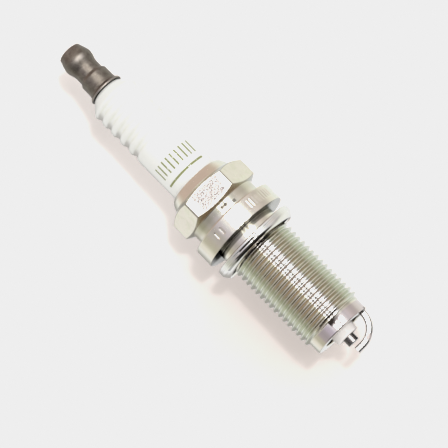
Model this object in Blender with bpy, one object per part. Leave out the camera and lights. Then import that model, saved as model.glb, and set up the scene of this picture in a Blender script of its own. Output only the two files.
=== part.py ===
"""Long-reach spark plug, M14 x 1.25 thread, 16 mm hexagon, flat seat with a loose crush gasket.

The plug stands upright on the Z axis, firing end down, with the underside of
its ground strap at z = 0. The strap is rooted at +X, and two flats of the
hexagon face +Y and -Y.
Every length below is in millimetres, and MM turns it into metres. Heights are
given from the seat plane, the flange's underside, and SEAT lifts them all so
that the strap rests on z = 0. Profiles are lists of (radius, height).
"""

import math

import bmesh
import bpy

MM = 0.001

# ---- driving dimensions ----------------------------------------------------
SHELL_SIDES = 36            # a multiple of 12 puts a column on each hexagon corner and mid-flat
CERAMIC_SIDES = 32
SMALL_SIDES = 24
SHARP_ANGLE = math.radians(35.0)    # edges steeper than this are shaded sharp

TERMINAL_TOP = 50.5
TERMINAL_FOOT = 39.60       # underside of the flared skirt
BULB_R = 3.17
WAIST_R = 2.66              # neck below the bulb
BARREL_R = 3.10
SKIRT_R = 3.76
STEM_R = 1.85

CERAMIC_TOP = 39.42
CERAMIC_R = 5.32            # plain length below the ribs
RIB_CREST_R = 5.30
RIB_DEPTH = 0.40
RIB_PITCH = 2.52
FIRST_GROOVE = 36.15        # middle of the top groove
GROOVES = 5
GROOVE_HALF_MOUTH = 0.95
GROOVE_HALF_FLOOR = 0.3
SHOULDER_R = 5.85
MID_R = 4.55
NOSE_TOP_R = 3.45
NOSE_TIP_R = 2.45
NOSE_TIP = -28.3
TERMINAL_BORE_R = 2.05
ELECTRODE_BORE_R = 1.36

HEX_FLAT_R = 16.0 / 2       # half of the size across flats
HEX_CORNER_R = 9.1          # corners are rounded off to this radius
HEX_TOP = 11.48             # where the top chamfer meets the middle of a flat
HEX_FOOT = 6.68             # where the foot chamfer meets the middle of a flat
TOP_CHAMFER = 0.55          # chamfer cone, height per unit of radius
FOOT_CHAMFER = 0.50
SHELL_WAIST_R = 7.56        # between hexagon and flange
FLANGE_R = 9.38
FLANGE_TOP = 3.9
SHANK_R = 6.6
BORE_FRONT_R = 4.25
BORE_LEDGE_R = 3.85         # inward ledge below the ceramic's lower step
BORE_MID_R = 4.75
BORE_TOP_R = 6.05
LIP_R = 5.42                # inner edge of the crimped lip

THREAD_MAJOR_R = 6.92       # M14 crest, slightly below nominal
THREAD_MINOR_R = 6.23
THREAD_PITCH = 1.25
THREAD_TOP = -4.1
THREAD_FOOT = -24.55
RUN_OUT = 0.55              # height over which the top of the thread fades into the shank
LEAD_IN_SLOPE = 1.3         # radius gained per unit of height at the thread's foot
END_RING_R = 6.2
SHELL_END = -26.5

ELECTRODE_R = 1.2
ELECTRODE_TIP = -29.85
ELECTRODE_HEAD_R = 1.8
ELECTRODE_HEAD_TOP = -7.1
CORE_R = 0.55
CORE_CLEARANCE = 0.15       # radial, between copper core and jacket
SPARK_GAP = 0.9

STRAP_THICK = 1.25
STRAP_WIDTH = 2.65
STRAP_OUTER_R = 5.8         # outer face of the root, from the plug's axis
STRAP_BEND_R = 5.0          # outer radius of the bend
STRAP_BEND_STEPS = 10
STRAP_OVERHANG = 0.55       # how far the tip passes the axis
STRAP_CHAMFER = 0.18        # along the bar's four edges
STRAP_ROOT_GAP = 0.05       # between the shell's end face and the root

GASKET_R = 9.3
GASKET_HOLE_R = 8.0
GASKET_LIP_R = 6.8
GASKET_THICK = 2.0
GASKET_Z = -2.7             # centre height of the loose ring
GASKET_TILT = math.radians(4.0)     # about X
GASKET_SWAY = math.radians(-1.0)    # about Y

STRAP_UNDERSIDE = ELECTRODE_TIP - SPARK_GAP - STRAP_THICK
SEAT = -STRAP_UNDERSIDE     # height of the seat plane above z = 0


# ---- scene and materials ---------------------------------------------------
for old in list(bpy.data.objects):
    bpy.data.objects.remove(old, do_unlink=True)


def material(name, colour, roughness, metallic=1.0):
    made = bpy.data.materials.new(name)
    made.use_nodes = True
    shader = made.node_tree.nodes["Principled BSDF"]
    shader.inputs["Base Color"].default_value = (*colour, 1.0)
    shader.inputs["Roughness"].default_value = roughness
    shader.inputs["Metallic"].default_value = metallic
    return made


TERMINAL_STEEL = material("terminal_steel", colour=(0.17, 0.145, 0.125), roughness=0.38)
GLAZED_ALUMINA = material(
    "glazed_alumina", colour=(0.86, 0.87, 0.83), roughness=0.12, metallic=0.0
)
PLATED_STEEL = material("plated_steel", colour=(0.72, 0.69, 0.62), roughness=0.25)
GASKET_STEEL = material("gasket_steel", colour=(0.80, 0.79, 0.76), roughness=0.20)
STRAP_NICKEL = material("strap_nickel", colour=(0.82, 0.81, 0.79), roughness=0.28)
TIP_NICKEL = material("tip_nickel", colour=(0.62, 0.60, 0.58), roughness=0.30)
COPPER = material("copper", colour=(0.80, 0.42, 0.28), roughness=0.35)
SEAL_GLASS = material("seal_glass", colour=(0.22, 0.17, 0.13), roughness=0.45, metallic=0.0)
CARBON_GLASS = material("carbon_glass", colour=(0.05, 0.05, 0.055), roughness=0.6, metallic=0.0)
TALC = material("talc", colour=(0.80, 0.78, 0.74), roughness=0.9, metallic=0.0)
WASHER_STEEL = material("washer_steel", colour=(0.55, 0.54, 0.52), roughness=0.4)


# ---- mesh building ---------------------------------------------------------
class Skin:
    """Faces given by their corners in mm. Corners in the same place are one vertex."""

    def __init__(self, lift=SEAT):
        self.lift = lift
        self.index = {}
        self.points = []
        self.faces = []

    def corner(self, point):
        key = tuple(round(c * 1e5) for c in point)
        if key not in self.index:
            self.index[key] = len(self.points)
            x, y, height = point
            self.points.append((x * MM, y * MM, (height + self.lift) * MM))
        return self.index[key]

    def face(self, *corners):
        """Add a face without its repeated corners, or nothing if fewer than three are left."""
        ring = []
        for corner in map(self.corner, corners):
            if corner not in ring:
                ring.append(corner)
        if len(ring) > 2:
            self.faces.append(ring)

    def loft(self, rings, capped):
        """Join each ring of points to the next, and close both ends if capped."""
        for upper, lower in zip(rings, rings[1:]):
            for j in range(len(upper)):
                k = (j + 1) % len(upper)
                self.face(upper[j], lower[j], lower[k], upper[k])
        if capped:
            self.face(*rings[0])
            self.face(*rings[-1])

    def object(self, name, surface):
        mesh = bpy.data.meshes.new(name)
        mesh.from_pydata(self.points, [], self.faces)
        work = bmesh.new()
        work.from_mesh(mesh)
        bmesh.ops.recalc_face_normals(work, faces=work.faces)
        if work.calc_volume(signed=True) < 0:
            bmesh.ops.reverse_faces(work, faces=work.faces)
        work.to_mesh(mesh)
        work.free()
        mesh.shade_smooth()
        mesh.set_sharp_from_angle(angle=SHARP_ANGLE)
        mesh.materials.append(surface)
        made = bpy.data.objects.new(name, mesh)
        bpy.context.scene.collection.objects.link(made)
        return made


def on_circle(radius, height, column, sides):
    angle = 2 * math.pi * (column % sides) / sides
    return (radius * math.cos(angle), radius * math.sin(angle), height)


def turned(name, profile, sides, surface, closed=False, lift=SEAT):
    """A turned solid. An open profile is capped flat at both ends, and a closed one is a ring."""
    rings = [
        [on_circle(radius, height, j, sides) for j in range(sides)] for radius, height in profile
    ]
    if closed:
        rings.append(rings[0])
    skin = Skin(lift)
    skin.loft(rings, capped=not closed)
    return skin.object(name, surface)


# ---- metal shell -----------------------------------------------------------
def hex_radius(column):
    """Distance from the axis to the hexagon's side, with flats facing +Y and -Y."""
    angle = 360.0 * column / SHELL_SIDES
    from_flat = (angle % 60.0) - 30.0
    return min(HEX_FLAT_R / math.cos(math.radians(from_flat)), HEX_CORNER_R)


def hex_top_edge(column):
    radius = hex_radius(column)
    return radius, HEX_TOP - TOP_CHAMFER * (radius - HEX_FLAT_R)


def hex_foot_edge(column):
    radius = hex_radius(column)
    return radius, HEX_FOOT + FOOT_CHAMFER * (radius - HEX_FLAT_R)


# From the foot of the thread round the end face, up the bore, over the crimped
# lip and down the outside to the top of the thread. The hexagon's two edges
# vary from column to column, so they are functions.
SHELL_PROFILE = [
    (END_RING_R, THREAD_FOOT),
    (END_RING_R, SHELL_END + 0.25),
    (END_RING_R - 0.25, SHELL_END),
    (BORE_FRONT_R + 0.2, SHELL_END),
    (BORE_FRONT_R, SHELL_END + 0.2),
    (BORE_FRONT_R, -15.6),
    (BORE_LEDGE_R, -15.2),
    (BORE_LEDGE_R, -14.35),
    (BORE_MID_R, -13.45),
    (BORE_MID_R, -0.7),
    (BORE_TOP_R, 1.0),
    (BORE_TOP_R, 12.7),
    (5.85, 12.95),
    (LIP_R, 13.05),
    (LIP_R, 13.85),
    (LIP_R + 0.14, 14.1),
    (6.02, 14.02),
    (6.42, 13.6),
    (6.75, 12.95),
    (6.9, 12.25),
    (7.06, 12.0),
    hex_top_edge,
    hex_foot_edge,
    (SHELL_WAIST_R + 0.06, 6.5),
    (SHELL_WAIST_R, 4.4),
    (SHELL_WAIST_R + 0.25, 4.1),
    (FLANGE_R - 0.4, FLANGE_TOP),
    (FLANGE_R, FLANGE_TOP - 0.4),
    (FLANGE_R, 0.28),
    (FLANGE_R - 0.1, 0.08),
    (FLANGE_R - 0.4, 0.0),
    (SHANK_R + 0.15, 0.0),
    (SHANK_R, -0.2),
    (SHANK_R, THREAD_TOP),
]
# One turn of thread: (part of a pitch, part of the depth).
THREAD_OUTLINE = ((0.0, 1.0), (0.22, 1.0), (0.61, 0.0))


def thread_point(row, column):
    """A right-hand thread: each row climbs one pitch in a turn, and stops at the thread's ends."""
    turn, step = divmod(row, len(THREAD_OUTLINE))
    along, depth = THREAD_OUTLINE[step]
    height = THREAD_FOOT - THREAD_PITCH + THREAD_PITCH * (turn + along + column / SHELL_SIDES)
    if height <= THREAD_FOOT:
        return on_circle(END_RING_R, THREAD_FOOT, column, SHELL_SIDES)
    if height >= THREAD_TOP:
        return on_circle(SHANK_R, THREAD_TOP, column, SHELL_SIDES)
    full_radius = THREAD_MINOR_R + depth * (THREAD_MAJOR_R - THREAD_MINOR_R)
    fade = min(1.0, (THREAD_TOP - height) / RUN_OUT)
    faded_radius = SHANK_R + fade * (full_radius - SHANK_R)
    radius = min(faded_radius, END_RING_R + (height - THREAD_FOOT) * LEAD_IN_SLOPE)
    return on_circle(radius, height, column, SHELL_SIDES)


def metal_shell():
    skin = Skin()
    rings = []
    for station in SHELL_PROFILE:
        ring = []
        for j in range(SHELL_SIDES):
            radius, height = station(j) if callable(station) else station
            ring.append(on_circle(radius, height, j, SHELL_SIDES))
        rings.append(ring)
    skin.loft(rings, capped=False)
    # One turn more at each end, so that every column reaches both ends of the thread.
    turns = math.ceil((THREAD_TOP - THREAD_FOOT) / THREAD_PITCH) + 2
    for j in range(SHELL_SIDES):
        for row in range(turns * len(THREAD_OUTLINE)):
            skin.face(
                thread_point(row, j),
                thread_point(row + 1, j),
                thread_point(row + 1, j + 1),
                thread_point(row, j + 1),
            )
    skin.object("metal_shell", PLATED_STEEL)


metal_shell()

# ---- insulator: down the outside, then up the bore ---------------------------
ribs = []
for groove in range(GROOVES):
    middle = FIRST_GROOVE - groove * RIB_PITCH
    ribs += [
        (RIB_CREST_R, middle + GROOVE_HALF_MOUTH),
        (RIB_CREST_R - RIB_DEPTH, middle + GROOVE_HALF_FLOOR),
        (RIB_CREST_R - RIB_DEPTH, middle - GROOVE_HALF_FLOOR),
        (RIB_CREST_R, middle - GROOVE_HALF_MOUTH),
    ]
turned(
    "insulator",
    [
        (TERMINAL_BORE_R, CERAMIC_TOP),
        (3.30, CERAMIC_TOP),
        (3.62, 39.12),
        (4.30, 38.30),
        (4.98, 37.50),
        *ribs,
        (CERAMIC_R, 24.8),
        (CERAMIC_R, 8.35),
        (SHOULDER_R, 7.9),
        (SHOULDER_R, 1.3),
        (MID_R, -0.4),
        (MID_R, -12.9),
        (3.6, -13.85),
        (NOSE_TOP_R, -14.6),
        (NOSE_TIP_R + 0.08, NOSE_TIP + 0.55),
        (NOSE_TIP_R - 0.12, NOSE_TIP + 0.18),
        (NOSE_TIP_R - 0.5, NOSE_TIP),
        (ELECTRODE_BORE_R + 0.12, NOSE_TIP + 0.02),
        (ELECTRODE_BORE_R, NOSE_TIP + 0.2),
        (ELECTRODE_BORE_R, -9.6),
        (TERMINAL_BORE_R, -9.0),
    ],
    CERAMIC_SIDES,
    GLAZED_ALUMINA,
    closed=True,
)

# ---- terminal: head and stem in one piece ----------------------------------
turned(
    "terminal_stud",
    [
        (2.12, TERMINAL_TOP),
        (2.42, TERMINAL_TOP - 0.1),
        (2.56, TERMINAL_TOP - 0.42),
        (2.92, 49.0),
        (3.09, 48.4),
        (BULB_R, 47.85),
        (3.13, 47.3),
        (2.98, 46.75),
        (WAIST_R + 0.05, 45.8),
        (WAIST_R, 45.2),
        (WAIST_R, 44.35),
        (2.85, 43.95),
        (BARREL_R, 43.5),
        (BARREL_R, 41.0),
        (3.22, 40.45),
        (3.44, 40.1),
        (SKIRT_R, 39.78),
        (SKIRT_R, TERMINAL_FOOT),
        (STEM_R, TERMINAL_FOOT),
        (STEM_R, 10.6),
        (STEM_R - 0.4, 10.1),
    ],
    SMALL_SIDES,
    TERMINAL_STEEL,
)

# ---- seals and resistor, stacked in the ceramic's bore ---------------------
SEAL_R = TERMINAL_BORE_R - 0.12
SEAL_CHAMFER = 0.15
for name, top, foot, surface in (
    ("upper_glass_seal", 9.9, 6.1, SEAL_GLASS),
    ("resistor", 5.9, -2.9, CARBON_GLASS),
    ("lower_glass_seal", -3.1, -6.9, SEAL_GLASS),
):
    turned(
        name,
        [
            (SEAL_R - SEAL_CHAMFER, top),
            (SEAL_R, top - SEAL_CHAMFER),
            (SEAL_R, foot + SEAL_CHAMFER),
            (SEAL_R - SEAL_CHAMFER, foot),
        ],
        SMALL_SIDES,
        surface,
    )

# ---- centre electrode: nickel jacket, open at the head, round a copper core --
turned(
    "center_electrode",
    [
        (CORE_R + CORE_CLEARANCE, -25.6),
        (CORE_R + CORE_CLEARANCE, ELECTRODE_HEAD_TOP),
        (ELECTRODE_HEAD_R - 0.15, ELECTRODE_HEAD_TOP),
        (ELECTRODE_HEAD_R, ELECTRODE_HEAD_TOP - 0.15),
        (ELECTRODE_HEAD_R, -8.85),
        (ELECTRODE_R, -9.75),
        (ELECTRODE_R, ELECTRODE_TIP + 0.08),
        (ELECTRODE_R - 0.08, ELECTRODE_TIP),
    ],
    SMALL_SIDES,
    TIP_NICKEL,
)
turned(
    "center_electrode_copper_core",
    [(CORE_R, ELECTRODE_HEAD_TOP - 0.02), (CORE_R, -25.1), (CORE_R - 0.25, -25.4)],
    SMALL_SIDES,
    COPPER,
)

# ---- packings between ceramic and shell ------------------------------------
turned(
    "seat_packing",
    [(3.98, -13.59), (4.58, -12.99), (4.62, -13.35), (4.02, -14.01)],
    CERAMIC_SIDES,
    WASHER_STEEL,
    closed=True,
)
PACKING_R = (CERAMIC_R + BORE_TOP_R) / 2    # middle of the space between ceramic and bore
WIRE_R = 0.23
WIRE_STEP = 60                              # degrees between corners of the wire's section
TALC_INNER_R = PACKING_R - 0.24
TALC_OUTER_R = PACKING_R + 0.24
TALC_TOP = 12.0
TALC_FOOT = 9.15


def wire_ring(name, height):
    wire = []
    for degrees in range(0, 360, WIRE_STEP):
        angle = math.radians(degrees)
        wire.append((PACKING_R + WIRE_R * math.cos(angle), height + WIRE_R * math.sin(angle)))
    turned(name, wire, SMALL_SIDES, WASHER_STEEL, closed=True)


wire_ring("lower_ring_packing", height=8.75)
wire_ring("upper_ring_packing", height=12.4)
turned(
    "talc_ring",
    [
        (TALC_INNER_R, TALC_TOP),
        (TALC_OUTER_R, TALC_TOP),
        (TALC_OUTER_R, TALC_FOOT),
        (TALC_INNER_R, TALC_FOOT),
    ],
    SMALL_SIDES,
    TALC,
    closed=True,
)

# ---- crush gasket: a folded ring, loose on the shank and slightly tilted -----
# Its heights are from its own middle, where its origin lies.
HALF = GASKET_THICK / 2
gasket = turned(
    "crush_gasket",
    [
        (GASKET_LIP_R, HALF - 0.2),
        (GASKET_LIP_R + 0.25, HALF),
        (GASKET_R - 0.45, HALF),
        (GASKET_R - 0.08, HALF - 0.25),
        (GASKET_R - 0.08, 0.28),
        (GASKET_R - 0.45, 0.1),
        (GASKET_R, -0.1),
        (GASKET_R, -HALF + 0.32),
        (GASKET_R - 0.35, -HALF),
        (GASKET_HOLE_R + 0.3, -HALF),
        (GASKET_HOLE_R, -HALF + 0.3),
        (GASKET_HOLE_R, HALF - 0.75),
        (GASKET_LIP_R + 0.1, HALF - 0.55),
    ],
    SHELL_SIDES,
    GASKET_STEEL,
    closed=True,
    lift=0.0,
)
gasket.location = (0.0, 0.0, (SEAT + GASKET_Z) * MM)
gasket.rotation_euler = (GASKET_TILT, GASKET_SWAY, 0.0)


# ---- ground strap ----------------------------------------------------------
def strap():
    """A flat bar bent a quarter turn, from the shell's end face to under the centre electrode."""
    middle_r = STRAP_BEND_R - STRAP_THICK / 2
    centre_x = STRAP_OUTER_R - STRAP_BEND_R
    centre_z = STRAP_UNDERSIDE + STRAP_BEND_R
    # Middle line of the bar: (x, height, angle turned so far).
    path = [(centre_x + middle_r, SHELL_END - STRAP_ROOT_GAP, 0.0)]
    for step in range(STRAP_BEND_STEPS + 1):
        turn = math.pi / 2 * step / STRAP_BEND_STEPS
        x = centre_x + middle_r * math.cos(turn)
        z = centre_z - middle_r * math.sin(turn)
        path.append((x, z, turn))
    path.append((-STRAP_OVERHANG, centre_z - middle_r, math.pi / 2))

    # Chamfered section: (towards the outside of the bend, along Y).
    face_out, side = STRAP_THICK / 2, STRAP_WIDTH / 2
    face_cut, side_cut = face_out - STRAP_CHAMFER, side - STRAP_CHAMFER
    section = [
        (face_out, side_cut), (face_cut, side),
        (-face_cut, side), (-face_out, side_cut),
        (-face_out, -side_cut), (-face_cut, -side),
        (face_cut, -side), (face_out, -side_cut),
    ]
    rings = [
        [(x + out * math.cos(turn), across, z - out * math.sin(turn)) for out, across in section]
        for x, z, turn in path
    ]
    skin = Skin()
    skin.loft(rings, capped=True)
    skin.object("ground_electrode", STRAP_NICKEL)


strap()
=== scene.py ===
"""Looks of the spark plug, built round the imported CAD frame.

The plug stands on its ground strap, terminal up, along +Z. The strap is at +X,
and two of the hexagon's flats face +Y and -Y. "Front" is the -Y side, where the
camera is. Lengths are millimetres and heights are from the seat plane, except
in the sections on the camera, floor and lamps, which use metres.
"""

import math
import random
from functools import cached_property, reduce

import bmesh
import bpy
import numpy as np
from mathutils import Matrix, Vector


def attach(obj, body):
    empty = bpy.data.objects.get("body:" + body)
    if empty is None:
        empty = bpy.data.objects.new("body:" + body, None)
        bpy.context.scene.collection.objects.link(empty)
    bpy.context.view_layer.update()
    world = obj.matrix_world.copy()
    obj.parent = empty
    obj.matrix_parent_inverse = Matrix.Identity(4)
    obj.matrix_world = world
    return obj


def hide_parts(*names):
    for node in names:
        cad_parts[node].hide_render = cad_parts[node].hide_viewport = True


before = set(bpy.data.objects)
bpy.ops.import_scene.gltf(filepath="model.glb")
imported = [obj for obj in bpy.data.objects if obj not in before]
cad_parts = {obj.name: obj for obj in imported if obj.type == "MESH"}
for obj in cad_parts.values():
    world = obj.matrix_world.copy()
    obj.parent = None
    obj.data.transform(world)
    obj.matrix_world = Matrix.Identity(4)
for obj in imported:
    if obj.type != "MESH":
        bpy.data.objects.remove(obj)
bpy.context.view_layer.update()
random.seed(7)
MM = 0.001
DEGREES = 180.0 / math.pi

# ---------------------------------------------------------------------------
# dimensions shared with the CAD model
# ---------------------------------------------------------------------------
SEAT = 32.0                       # the seat plane's height over the strap's lowest point
HEX_FLAT_R = 8.0
HEX_FILLET = 0.45                 # the hexagon's upright edges
HEX_TOP = 11.48                   # where the top cone meets the middle of a flat
HEX_FOOT = 6.68
TOP_CHAMFER = 0.55                # slopes of the two cones
FOOT_CHAMFER = 0.50
FLANGE_R = 9.38
FLANGE_TOP = 3.9
SHANK_R = 6.6
THREAD_CREST_R = 6.92
THREAD_ROOT_R = 6.23
PITCH = 1.25
THREAD_TOP = -4.1
THREAD_FOOT = -24.3
RUN_OUT = 0.55
END_RING_R = 6.2
SHELL_END = -26.75
CERAMIC_R = 5.32                  # the printed part of the ceramic
STRAP_THICK = 1.25
STRAP_WIDE = 2.65
STRAP_FOOT = -SEAT
STRAP_OUTER_X = 5.8
STRAP_BEND_R = 5.0                # the bend's outer side
BEND_X = STRAP_OUTER_X - STRAP_BEND_R
BEND_Z = STRAP_FOOT + STRAP_BEND_R
ELECTRODE_TIP = -29.85
NOSE_TIP = -28.3
GASKET_PLACE = (
    Matrix.Translation((0, 0, -2.7))
    @ Matrix.Rotation(math.radians(-1.0), 4, "Y")
    @ Matrix.Rotation(math.radians(4.0), 4, "X")
)


# ---------------------------------------------------------------------------
# mesh building
# ---------------------------------------------------------------------------
def soften(points, closed=False, steps=4):
    """Rounds each corner (r, z, radius) of a profile with a small arc, and returns (r, z) pairs."""
    out = []
    count = len(points)
    for i, point in enumerate(points):
        corner = np.array(point[:2], float)
        radius = point[2] if len(point) > 2 else 0.0
        is_end = i in (0, count - 1) and not closed
        if is_end or radius <= 0:
            out.append(tuple(corner))
            continue
        before = np.array(points[i - 1][:2], float) - corner
        after = np.array(points[(i + 1) % count][:2], float) - corner
        before_length, after_length = np.linalg.norm(before), np.linalg.norm(after)
        before, after = before / before_length, after / after_length
        angle = math.acos(float(np.clip(before @ after, -1, 1)))
        if angle > math.radians(177) or angle < math.radians(3):
            out.append(tuple(corner))
            continue
        cut = min(radius / math.tan(angle / 2), before_length * 0.48, after_length * 0.48)
        fitted = cut * math.tan(angle / 2)
        bisector = (before + after) / np.linalg.norm(before + after)
        centre = corner + bisector * (fitted / math.sin(angle / 2))
        start, stop = corner + before * cut, corner + after * cut
        from_centre, to_centre = start - centre, stop - centre
        first = math.atan2(from_centre[1], from_centre[0])
        last = math.atan2(to_centre[1], to_centre[0])
        sweep = (last - first + math.pi) % (2 * math.pi) - math.pi
        # a row just outside each end of the arc keeps the flat beside it flat
        out.append(tuple(start + before * min(0.04, (before_length - cut) * 0.3)))
        for k in range(steps + 1):
            turn = first + sweep * k / steps
            out.append((centre[0] + fitted * math.cos(turn), centre[1] + fitted * math.sin(turn)))
        out.append(tuple(stop + after * min(0.04, (after_length - cut) * 0.3)))
    return out


def spline(points, per):
    """A Catmull-Rom curve through (r, z) points, per rows to a span, with the ends kept."""
    knots = [np.array(point, float) for point in points]
    knots = [2 * knots[0] - knots[1], *knots, 2 * knots[-1] - knots[-2]]
    out = []
    for before, start, stop, after in zip(knots, knots[1:], knots[2:], knots[3:]):
        for k in range(per):
            t = k / per
            out.append(tuple(0.5 * (
                2 * start + (stop - before) * t
                + (2 * before - 5 * start + 4 * stop - after) * t * t
                + (3 * start - before - 3 * stop + after) * t ** 3
            )))
    out.append(tuple(knots[-2]))
    return out


class Skin:
    """Faces given by corner points in mm. Corners in the same place are one vertex."""

    def __init__(self):
        self.index, self.points, self.faces = {}, [], []

    def corner(self, point):
        x, y, z = point
        key = (round(x * 2e4), round(y * 2e4), round(z * 2e4))
        if key not in self.index:
            self.index[key] = len(self.points)
            self.points.append((x * MM, y * MM, (z + SEAT) * MM))
        return self.index[key]

    def face(self, *corners):
        ring = []
        for point in corners:
            found = self.corner(point)
            if found not in ring:
                ring.append(found)
        if len(ring) > 2:
            self.faces.append(ring)

    def strip(self, here, there):
        """Faces between two open columns of points."""
        for i in range(len(here) - 1):
            self.face(here[i], here[i + 1], there[i + 1], there[i])

    def loft(self, rings, closed=False):
        """Joins rings in order. The last joins the first if closed, else both ends are capped."""
        count = len(rings[0])
        pairs = list(zip(rings, rings[1:]))
        if closed:
            pairs.append((rings[-1], rings[0]))
        for upper, lower in pairs:
            for j in range(count):
                k = (j + 1) % count
                self.face(upper[j], lower[j], lower[k], upper[k])
        if closed:
            return
        for ring in (rings[0], rings[-1]):
            middle = tuple(sum(point[i] for point in ring) / count for i in range(3))
            for j in range(count):
                self.face(ring[j], ring[(j + 1) % count], middle)

    def object(self, name, material, sharp):
        """The finished object. Edges over sharp degrees stay crisp."""
        mesh = bpy.data.meshes.new(name)
        mesh.from_pydata(self.points, [], self.faces)
        work = bmesh.new()
        work.from_mesh(mesh)
        bmesh.ops.recalc_face_normals(work, faces=work.faces)
        if work.calc_volume(signed=True) < 0:
            bmesh.ops.reverse_faces(work, faces=work.faces)
        work.to_mesh(mesh)
        work.free()
        mesh.shade_smooth()
        mesh.set_sharp_from_angle(angle=math.radians(sharp))
        mesh.materials.append(material)
        made = bpy.data.objects.new(name, mesh)
        bpy.context.scene.collection.objects.link(made)
        return made


def turned(name, profile, sides, material, sharp, closed=False, shape=None, place=None):
    """A turned solid; shape(r, z, angle) may move a point, and place is a matrix in mm."""
    rings = []
    for row in profile:
        ring = []
        for j in range(sides):
            angle = 2 * math.pi * j / sides
            radius, height = shape(*row, angle) if shape else row
            point = Vector((radius * math.cos(angle), radius * math.sin(angle), height))
            ring.append(tuple(place @ point) if place else tuple(point))
        rings.append(ring)
    skin = Skin()
    skin.loft(rings, closed)
    return skin.object(name, material, sharp)


def hand_over(piece, cad_node, part="plug"):
    """Tells the frame what a piece moves with and stands in for."""
    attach(piece, part)
    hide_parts(cad_node)


# ---------------------------------------------------------------------------
# node trees
# ---------------------------------------------------------------------------
class Value:
    """A node's output. Arithmetic on it adds nodes; masks run from 0 to 1."""

    def __init__(self, tree, socket):
        self.tree, self.socket = tree, socket

    def math(self, operation, *others):
        return self.tree.math(operation, self, *others)

    def __add__(self, other):
        return self.math("ADD", other)

    def __sub__(self, other):
        return self.math("SUBTRACT", other)

    def __rsub__(self, other):
        return self.tree.math("SUBTRACT", other, self)

    def __mul__(self, other):
        return self.math("MULTIPLY", other)

    def __mod__(self, other):
        return self.math("MODULO", other)

    def abs(self):
        return self.math("ABSOLUTE")

    def scaled(self, factor, offset):
        return self.math("MULTIPLY_ADD", factor, offset)

    def larger(self, other):
        return self.math("MAXIMUM", other)

    def below(self, limit):
        return self.math("LESS_THAN", limit)

    def above(self, limit):
        return self.math("GREATER_THAN", limit)

    def near(self, place, half_width):
        return self.math("COMPARE", place, half_width)

    def span(self, low, high, to_low=0.0, to_high=1.0):
        """Eases from to_low at low to to_high at high."""
        inputs = dict(enumerate((self, low, high, to_low, to_high)))
        return self.tree.value("MapRange", inputs, interpolation_type="SMOOTHSTEP")

    def rise(self, low, high):
        return self.span(low, high)

    def fall(self, low, high):
        return self.span(low, high, 1.0, 0.0)

    def window(self, low, high, ease, ease_out=None):
        """1 between low and high, eased over ease at low and over ease_out at high."""
        half_in, half_out = ease / 2, (ease if ease_out is None else ease_out) / 2
        return self.rise(low - half_in, low + half_in) * self.fall(high - half_out, high + half_out)

    def noise(self, scale, detail=3.0, rough=0.5, distortion=0.0):
        inputs = {
            "Vector": self, "Scale": scale, "Detail": detail,
            "Roughness": rough, "Distortion": distortion,
        }
        return self.tree.value("TexNoise", inputs, "Fac")

    def ramp(self, *stops):
        """A colour from (place, colour) stops."""
        node = self.tree.node("ValToRGB", {0: self})
        elements = node.color_ramp.elements
        while len(elements) < len(stops):
            elements.new(0.5)
        for element, (place, colour) in zip(elements, stops):
            element.position = place
            element.color = (*colour, 1.0)
        return Value(self.tree, node.outputs["Color"])

    def cover(self, mask, paint):
        """This colour with paint over it where the mask is 1."""
        return self.tree.mix(mask, self, paint)

    def tinted(self, tint):
        return self.tree.mix(1.0, self, tint, "MULTIPLY")

    def bump(self, strength, distance):
        """A normal from this height; distance is in metres."""
        inputs = {"Strength": strength, "Distance": distance, "Height": self}
        return self.tree.value("Bump", inputs)


class Tree:
    """A short way to write a node tree."""

    def __init__(self, tree):
        self.tree = tree

    def set(self, socket, value):
        if isinstance(value, Value):
            self.tree.links.new(value.socket, socket)
        elif socket.type == "RGBA":
            colour = value if isinstance(value, tuple) else (value, value, value)
            socket.default_value = (*colour, 1.0)
        else:
            socket.default_value = value

    def node(self, kind, inputs=None, **settings):
        made = self.tree.nodes.new("ShaderNode" + kind)
        for key, setting in settings.items():
            setattr(made, key, setting)
        for key, value in (inputs or {}).items():
            self.set(made.inputs[key], value)
        return made

    def value(self, kind, inputs=None, output=0, **settings):
        return Value(self, self.node(kind, inputs, **settings).outputs[output])

    def values(self, kind, outputs, inputs=None):
        """Several outputs of one new node."""
        made = self.node(kind, inputs)
        return [Value(self, made.outputs[name]) for name in outputs]

    def math(self, operation, first, second=0.0, third=0.0):
        return self.value("Math", {0: first, 1: second, 2: third}, operation=operation)

    def vector(self, x, y, z):
        return self.value("CombineXYZ", {0: x, 1: y, 2: z})

    def mix(self, factor, base, paint, blend="MIX"):
        inputs = {0: factor, 6: base, 7: paint}
        return self.value("Mix", inputs, output=2, data_type="RGBA", blend_type=blend)


class Material(Tree):
    """A principled material. Its x, y and z are millimetres, with z from the seat plane."""

    def __init__(self, name):
        self.material = bpy.data.materials.new(name)
        self.material.use_nodes = True
        super().__init__(self.material.node_tree)
        self.inputs = self.tree.nodes["Principled BSDF"].inputs
        self.point = self.value("TexCoord", output="Object")

    @cached_property
    def split(self):
        return self.values("SeparateXYZ", "XYZ", {0: self.point})

    @cached_property
    def x(self):
        return self.split[0] * (1 / MM)

    @cached_property
    def y(self):
        return self.split[1] * (1 / MM)

    @cached_property
    def z(self):
        return self.split[2].scaled(1 / MM, -SEAT)

    @cached_property
    def angle(self):
        """Radians round the axis: 0 at -Y, growing towards +X."""
        return self.x.math("ARCTAN2", self.y * -1.0)

    @cached_property
    def radius(self):
        return (self.x * self.x + self.y * self.y).math("SQRT")

    def turning(self, lines, wobble):
        """Fine marks that run round the axis, as a lathe leaves."""
        place = self.vector(self.angle * wobble, self.z * lines, self.radius * lines)
        return place.noise(scale=1.0, detail=4.0, rough=0.6)

    def finish(self, colour, roughness, metallic, normal):
        self.set(self.inputs["Base Color"], colour)
        self.set(self.inputs["Roughness"], roughness)
        self.set(self.inputs["Metallic"], metallic)
        self.set(self.inputs["Normal"], normal)
        return self.material


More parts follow.
